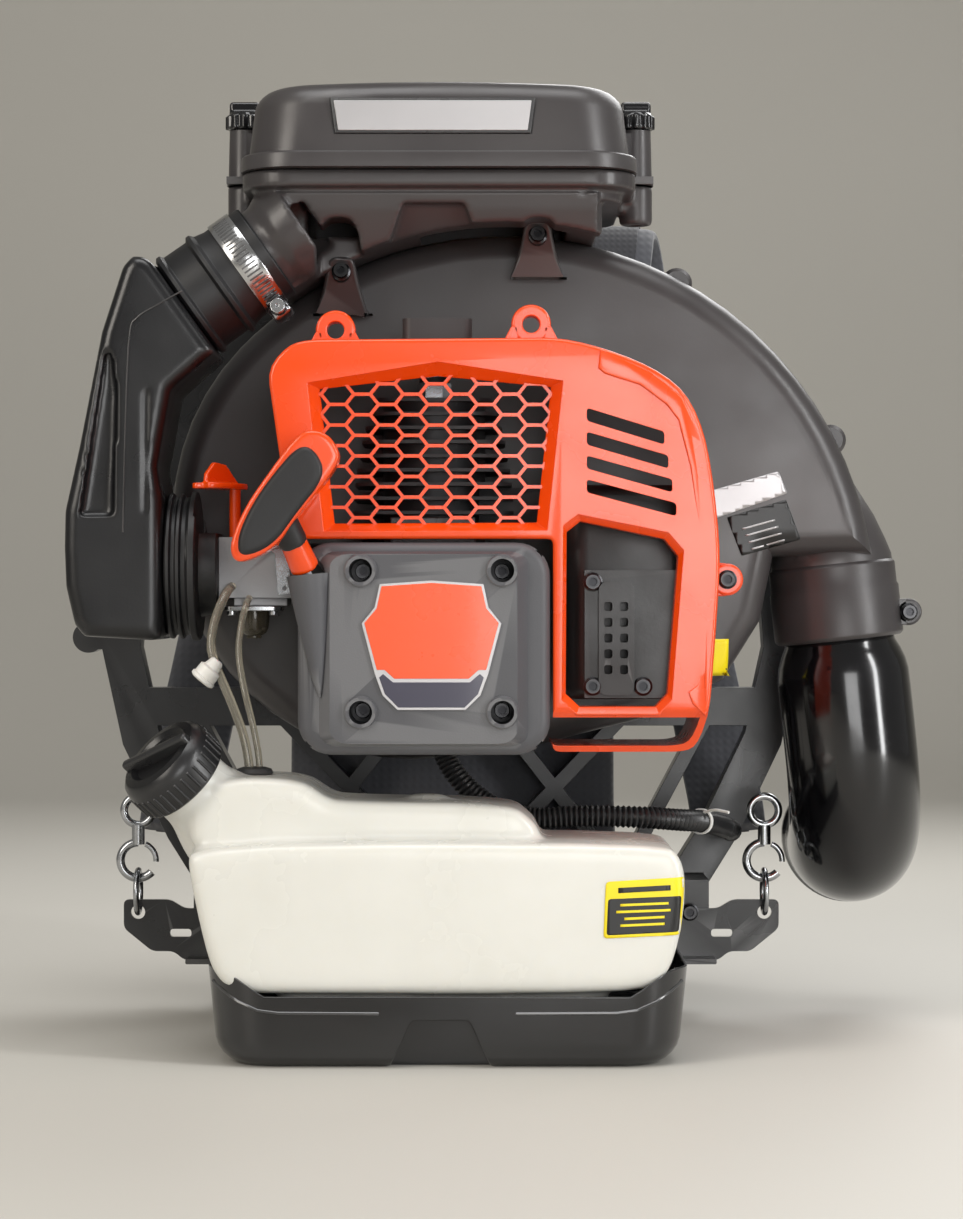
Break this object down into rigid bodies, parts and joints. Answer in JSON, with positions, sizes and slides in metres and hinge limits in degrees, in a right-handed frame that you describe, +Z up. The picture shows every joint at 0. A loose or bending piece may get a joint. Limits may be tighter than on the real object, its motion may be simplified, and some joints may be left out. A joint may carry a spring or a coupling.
{
  "type": "backpack leaf blower",
  "caption": "Backpack leaf blower with a two-stroke engine, scroll fan housing, downward outlet elbow, fuel tank, air cleaner and carrying frame with straps.",
  "frame": {"origin": "on the ground under the middle of the base tray", "axes": "+Z up, -Y towards the engine side, +Y towards the wearer, +X to the outlet side"},
  "size_m": [0.4829, 0.3651, 0.5043],
  "materials": {
    "black_plastic": "satin",
    "gloss_black": "gloss",
    "housing_grey": "satin",
    "starter_grey": "satin",
    "orange_plastic": "gloss",
    "tank_white": "satin",
    "rubber_black": "matte",
    "clear_line": "gloss",
    "steel": "satin",
    "cast_alloy": "matte",
    "muffler_black": "matte",
    "cloth_grey": "matte",
    "filter_felt": "matte",
    "rope_grey": "matte"
  },
  "bodies": {
    "root": {"base_tray": "black_plastic", "back_frame": "black_plastic", "intake_grille": "black_plastic", "air_duct": "black_plastic", "plug_boot": "black_plastic", "ignition_coil": "black_plastic", "elbow": "gloss_black", "volute_front": "housing_grey", "volute_rear": "housing_grey", "outlet_collar": "housing_grey", "air_base": "housing_grey", "starter_cover": "starter_grey", "engine_cover": "orange_plastic", "badge": "orange_plastic", "fuel_tank": "tank_white", "check_valve": "tank_white", "av_mounts": "rubber_black", "duct_collar": "rubber_black", "tank_grommet": "rubber_black", "loom": "rubber_black", "intake_ring": "rubber_black", "insulator": "rubber_black", "fuel_lines": "clear_line", "primer_bulb": "clear_line", "hook_brackets": "steel", "wire_rings": "steel", "case_screws": "steel", "hose_clamp": "steel", "primer_plate": "steel", "recoil_spring": "steel", "spark_plug": "steel", "crankcase": "cast_alloy", "cylinder": "cast_alloy", "carburettor": "cast_alloy", "muffler": "muffler_black", "muffler_guard": "muffler_black", "back_pad": "cloth_grey", "strap_left": "cloth_grey", "strap_right": "cloth_grey", "air_filter": "filter_felt"},
    "lid": {"air_lid": "housing_grey", "lid_plate": "steel"},
    "left_knob": {"knob_left": "gloss_black"},
    "right_knob": {"knob_right": "gloss_black"},
    "handle": {"starter_handle": "orange_plastic", "starter_rope": "rope_grey"},
    "reel": {"starter_reel": "black_plastic"},
    "crank": {"crankshaft": "steel", "flywheel": "cast_alloy", "fan": "black_plastic"},
    "piston_body": {"piston": "cast_alloy"},
    "choke": {"choke_lever": "orange_plastic"},
    "throttle": {"throttle_lever": "steel"},
    "primer": {"primer_tip": "clear_line"},
    "cap_seal": {"cap_gasket": "rubber_black"},
    "cap": {"fuel_cap": "gloss_black"},
    "left_hook": {"hook_left": "steel"},
    "right_hook": {"hook_right": "steel"},
    "left_gate": {"gate_left": "steel"},
    "right_gate": {"gate_right": "steel"}
  },
  "joints": [
    {"name": "lid_lift", "type": "slide", "parent": "root", "child": "lid", "axis": [0, 0, 1], "range_m": [0, 0.12]},
    {"name": "left_knob_turn", "type": "hinge", "parent": "lid", "child": "left_knob", "pos_m": [-0.112, 0.014, 0.47], "axis": [0, 0, 1], "range_deg": [0, 1080]},
    {"name": "right_knob_turn", "type": "hinge", "parent": "lid", "child": "right_knob", "pos_m": [0.101, 0.014, 0.47], "axis": [0, 0, 1], "range_deg": [0, 1080]},
    {"name": "starter_pull", "type": "slide", "parent": "root", "child": "handle", "axis": [-0.3609, -0.4211, 0.8321], "range_m": [0, 0.6]},
    {"name": "reel_spin", "type": "hinge", "parent": "root", "child": "reel", "pos_m": [-0.008, -0.11, 0.212], "axis": [0, 1, 0], "range_deg": [-1380, 0]},
    {"name": "crank_spin", "type": "hinge", "parent": "root", "child": "crank", "pos_m": [-0.008, -0.035, 0.212], "axis": [0, 1, 0], "continuous": true},
    {"name": "piston_slide", "type": "slide", "parent": "root", "child": "piston_body", "axis": [0, 0, 1], "range_m": [0, 0.034]},
    {"name": "choke_turn", "type": "hinge", "parent": "root", "child": "choke", "pos_m": [-0.113, -0.042, 0.29], "axis": [0, 0, 1], "range_deg": [0, 50]},
    {"name": "throttle_turn", "type": "hinge", "parent": "root", "child": "throttle", "pos_m": [-0.088, -0.055, 0.262], "axis": [0, 1, 0], "range_deg": [0, 55], "stiffness_Nm_per_rad": 0.01, "springref_deg": -22.92},
    {"name": "primer_press", "type": "slide", "parent": "root", "child": "primer", "axis": [0, 0, 1], "range_m": [0, 0.008], "stiffness_N_per_m": 150, "springref_m": -0.001, "deforming": ["primer_bulb"]},
    {"name": "cap_rise", "type": "slide", "parent": "root", "child": "cap_seal", "axis": [-0.6211, -0.4208, 0.6612], "range_m": [0, 0.0061]},
    {"name": "cap_turn", "type": "hinge", "parent": "cap_seal", "child": "cap", "pos_m": [-0.122, -0.092, 0.128], "axis": [-0.6211, -0.4208, 0.6612], "range_deg": [0, 720]},
    {"name": "left_hook_swing", "type": "hinge", "parent": "root", "child": "left_hook", "pos_m": [-0.176, 0.0695, 0.0815], "axis": [0, 1, 0], "range_deg": [-15, 15]},
    {"name": "right_hook_swing", "type": "hinge", "parent": "root", "child": "right_hook", "pos_m": [0.176, 0.0695, 0.0815], "axis": [0, 1, 0], "range_deg": [-10, 6]},
    {"name": "left_gate_turn", "type": "hinge", "parent": "left_hook", "child": "left_gate", "pos_m": [-0.17392, 0.0695, 0.09678], "axis": [0, 1, 0], "range_deg": [0, 14], "stiffness_Nm_per_rad": 0.02, "springref_deg": -17.19},
    {"name": "right_gate_turn", "type": "hinge", "parent": "right_hook", "child": "right_gate", "pos_m": [0.17808, 0.0695, 0.09678], "axis": [0, 1, 0], "range_deg": [0, 14], "stiffness_Nm_per_rad": 0.02, "springref_deg": -17.19}
  ],
  "couplings": [
    {"joint": "reel_spin", "follows": "starter_pull", "rad_per_m": -40},
    {"joint": "cap_rise", "follows": "cap_turn", "m_per_rad": 0.00047746}
  ]
}
